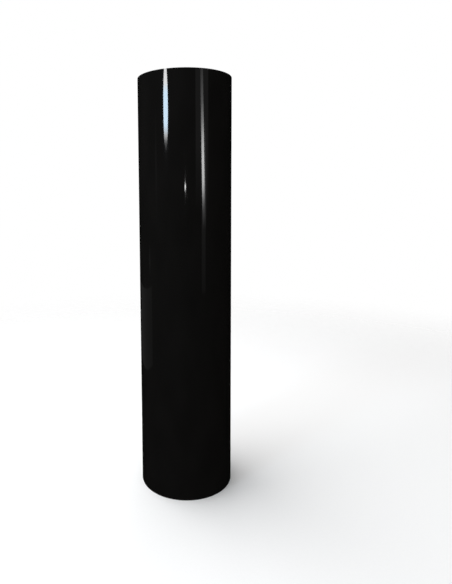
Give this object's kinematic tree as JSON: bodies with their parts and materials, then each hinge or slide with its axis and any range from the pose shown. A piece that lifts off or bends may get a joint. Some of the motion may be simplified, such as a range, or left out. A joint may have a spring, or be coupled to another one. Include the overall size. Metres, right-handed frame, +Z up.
{
  "type": "roll of sign vinyl",
  "caption": "Tall roll of glossy black adhesive sign vinyl on a paperboard core, standing on end, with a taped tail that unwinds and peels, and pull-out core plugs.",
  "frame": {"origin": "centre of the lower end of the roll, on its axis", "axes": "+Z up along the roll's axis; -Y towards the viewer; the tail's edge is at the back, 135 degrees anticlockwise from +X seen from above"},
  "size_m": [0.1384, 0.139, 0.6096],
  "materials": {
    "black_film": "polished",
    "release_liner": "satin",
    "wound_web": "satin",
    "paperboard": "matte",
    "clear_tape": "gloss",
    "starting_tape": "matte",
    "moulded_plastic": "satin",
    "label_paper": "matte"
  },
  "bodies": {
    "roll": {"core_tube": "paperboard", "core_label": "label_paper", "starting_tape": "starting_tape", "wound_turns": "wound_web", "outer_film_turn": "black_film", "outer_liner_turn": "release_liner"},
    "tail_1": {"tail_film_1": "black_film", "tail_liner_1": "release_liner"},
    "tail_2": {"tail_film_2": "black_film", "tail_liner_2": "release_liner"},
    "tail_3": {"tail_film_3": "black_film", "tail_liner_3": "release_liner"},
    "tail_4": {"tail_film_4": "black_film", "tail_liner_4": "release_liner"},
    "tail_5": {"tail_film_5": "black_film", "tail_liner_5": "release_liner"},
    "tail_6": {"tail_film_6": "black_film", "tail_liner_6": "release_liner"},
    "peel_1": {"peel_film_1": "black_film", "lower_tape_part_1": "clear_tape", "middle_tape_part_1": "clear_tape", "upper_tape_part_1": "clear_tape"},
    "peel_2": {"peel_film_2": "black_film", "lower_tape_part_2": "clear_tape", "middle_tape_part_2": "clear_tape", "upper_tape_part_2": "clear_tape"},
    "peel_3": {"peel_film_3": "black_film", "lower_tape_part_3": "clear_tape", "middle_tape_part_3": "clear_tape", "upper_tape_part_3": "clear_tape"},
    "lower_tab": {"lower_tape_tab": "clear_tape"},
    "middle_tab": {"middle_tape_tab": "clear_tape"},
    "upper_tab": {"upper_tape_tab": "clear_tape"},
    "upper_plug": {"upper_core_plug": "moulded_plastic"},
    "lower_plug": {"lower_core_plug": "moulded_plastic"}
  },
  "joints": [
    {"name": "tail_bend_1", "type": "hinge", "parent": "roll", "child": "tail_1", "pos_m": [0.04923, 0.04923, 0.3048], "axis": [0, 0, -1], "range_deg": [0, 15]},
    {"name": "tail_bend_2", "type": "hinge", "parent": "tail_1", "child": "tail_2", "pos_m": [0.03483, 0.06034, 0.3048], "axis": [0, 0, -1], "range_deg": [0, 15]},
    {"name": "tail_bend_3", "type": "hinge", "parent": "tail_2", "child": "tail_3", "pos_m": [0.01804, 0.06734, 0.3048], "axis": [0, 0, -1], "range_deg": [0, 15]},
    {"name": "tail_bend_4", "type": "hinge", "parent": "tail_3", "child": "tail_4", "pos_m": [0, 0.06976, 0.3048], "axis": [0, 0, -1], "range_deg": [0, 15]},
    {"name": "tail_bend_5", "type": "hinge", "parent": "tail_4", "child": "tail_5", "pos_m": [-0.01807, 0.06743, 0.3048], "axis": [0, 0, -1], "range_deg": [0, 15]},
    {"name": "tail_bend_6", "type": "hinge", "parent": "tail_5", "child": "tail_6", "pos_m": [-0.03493, 0.0605, 0.3048], "axis": [0, 0, -1], "range_deg": [0, 15]},
    {"name": "peel_bend_1", "type": "hinge", "parent": "tail_6", "child": "peel_1", "pos_m": [-0.03805, 0.05859, 0.3048], "axis": [0, 0, -1], "range_deg": [0, 35]},
    {"name": "peel_bend_2", "type": "hinge", "parent": "peel_1", "child": "peel_2", "pos_m": [-0.04205, 0.05581, 0.3048], "axis": [0, 0, -1], "range_deg": [0, 35]},
    {"name": "peel_bend_3", "type": "hinge", "parent": "peel_2", "child": "peel_3", "pos_m": [-0.04585, 0.05275, 0.3048], "axis": [0, 0, -1], "range_deg": [0, 35]},
    {"name": "lower_tab_lift", "type": "hinge", "parent": "peel_3", "child": "lower_tab", "pos_m": [-0.04978, 0.04978, 0.0525], "axis": [0, 0, -1], "range_deg": [0, 75]},
    {"name": "middle_tab_lift", "type": "hinge", "parent": "peel_3", "child": "middle_tab", "pos_m": [-0.04978, 0.04978, 0.3048], "axis": [0, 0, -1], "range_deg": [0, 75]},
    {"name": "upper_tab_lift", "type": "hinge", "parent": "peel_3", "child": "upper_tab", "pos_m": [-0.04978, 0.04978, 0.5571], "axis": [0, 0, -1], "range_deg": [0, 75]},
    {"name": "upper_plug_pull", "type": "slide", "parent": "roll", "child": "upper_plug", "axis": [0, 0, 1], "range_m": [0, 0.11]},
    {"name": "lower_plug_pull", "type": "slide", "parent": "roll", "child": "lower_plug", "axis": [0, 0, -1], "range_m": [0, 0.11]}
  ],
  "couplings": [
    {"joint": "tail_bend_2", "follows": "tail_bend_1", "ratio": 1},
    {"joint": "tail_bend_3", "follows": "tail_bend_1", "ratio": 1},
    {"joint": "tail_bend_4", "follows": "tail_bend_1", "ratio": 1},
    {"joint": "tail_bend_5", "follows": "tail_bend_1", "ratio": 1},
    {"joint": "tail_bend_6", "follows": "tail_bend_1", "ratio": 1},
    {"joint": "peel_bend_2", "follows": "peel_bend_1", "ratio": 1},
    {"joint": "peel_bend_3", "follows": "peel_bend_1", "ratio": 1}
  ]
}
